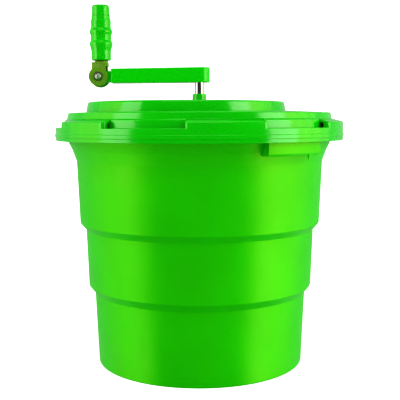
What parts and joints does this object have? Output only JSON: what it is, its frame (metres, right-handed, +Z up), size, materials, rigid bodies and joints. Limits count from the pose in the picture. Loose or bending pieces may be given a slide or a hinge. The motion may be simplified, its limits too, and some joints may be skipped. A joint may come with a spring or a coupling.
{
  "type": "salad_spinner",
  "caption": "Large hand-cranked salad spinner: stepped tub, spinning slotted basket, geared lid and folding crank handle with a turning grip",
  "frame": {"origin": "centre of the tub's foot, on the plane it stands on", "axes": "+Z up along the basket's axis, the crank arm points along -X at rest, -Y faces the front"},
  "size_m": [0.4336, 0.4336, 0.5393],
  "materials": {
    "tub_green": "glossy injection-moulded plastic",
    "lid_green": "glossy injection-moulded plastic",
    "basket_green": "satin injection-moulded plastic",
    "arm_green": "glossy plastic",
    "grip_green": "glossy plastic",
    "steel": "stainless steel",
    "shaft_chrome": "bright polished steel",
    "bolt_chrome": "bright plated steel",
    "washer_dark": "dark plated steel",
    "yellow_zinc": "yellow zinc plate on bent sheet steel",
    "nylon": "natural nylon",
    "seal_rubber": "soft black rubber",
    "case_plastic": "matt light grey plastic"
  },
  "bodies": {
    "tub": {"tub_shell": "tub_green", "pivot_pin": "steel"},
    "basket": {"basket_shell": "basket_green", "basket_bush": "nylon"},
    "lid": {"lid_shell": "lid_green", "shaft_bush": "nylon", "shaft_seal": "seal_rubber", "gear_case": "case_plastic", "case_seal": "seal_rubber", "layshaft_pin": "steel", "output_bush": "nylon", "case_screws": "steel"},
    "layshaft": {"layshaft_gear": "nylon"},
    "drive": {"drive_pinion": "nylon", "drive_plate": "case_plastic", "drive_washer": "steel", "drive_screw": "steel"},
    "crank": {"crank_shaft": "shaft_chrome", "crank_gear": "nylon", "gear_circlip": "steel", "thrust_washer": "nylon", "crank_arm": "arm_green", "arm_washer": "steel", "arm_screw": "steel"},
    "handle": {"clevis": "yellow_zinc", "pivot_bolt": "bolt_chrome", "pivot_nut": "steel", "pivot_washers": "washer_dark", "pivot_spacers": "nylon", "spindle_collar": "yellow_zinc", "handle_spindle": "steel", "spindle_washer": "steel", "spindle_screw": "steel"},
    "grip": {"grip": "grip_green", "grip_end_cap": "grip_green"}
  },
  "joints": [
    {"name": "lid_lift", "type": "slide", "parent": "tub", "child": "lid", "axis": [0, 0, 1], "range_m": [0, 0.15]},
    {"name": "crank_turn", "type": "hinge", "parent": "lid", "child": "crank", "pos_m": [0, 0, 0.4], "axis": [0, 0, 1], "continuous": true},
    {"name": "layshaft_spin", "type": "hinge", "parent": "lid", "child": "layshaft", "pos_m": [-0.06, 0, 0.37], "axis": [0, 0, 1], "continuous": true},
    {"name": "drive_spin", "type": "hinge", "parent": "lid", "child": "drive", "pos_m": [0, 0, 0.35], "axis": [0, 0, 1], "continuous": true},
    {"name": "basket_spin", "type": "hinge", "parent": "tub", "child": "basket", "pos_m": [0, 0, 0.03], "axis": [0, 0, 1], "continuous": true},
    {"name": "handle_fold", "type": "hinge", "parent": "crank", "child": "handle", "pos_m": [-0.1515, 0, 0.433], "axis": [0, -1, 0], "range_deg": [0, 90]},
    {"name": "grip_spin", "type": "hinge", "parent": "handle", "child": "grip", "pos_m": [-0.148, 0, 0.49], "axis": [0, 0, 1], "continuous": true}
  ],
  "couplings": [
    {"joint": "layshaft_spin", "follows": "crank_turn", "ratio": -3},
    {"joint": "drive_spin", "follows": "crank_turn", "ratio": 4.5},
    {"joint": "basket_spin", "follows": "crank_turn", "ratio": 4.5}
  ]
}
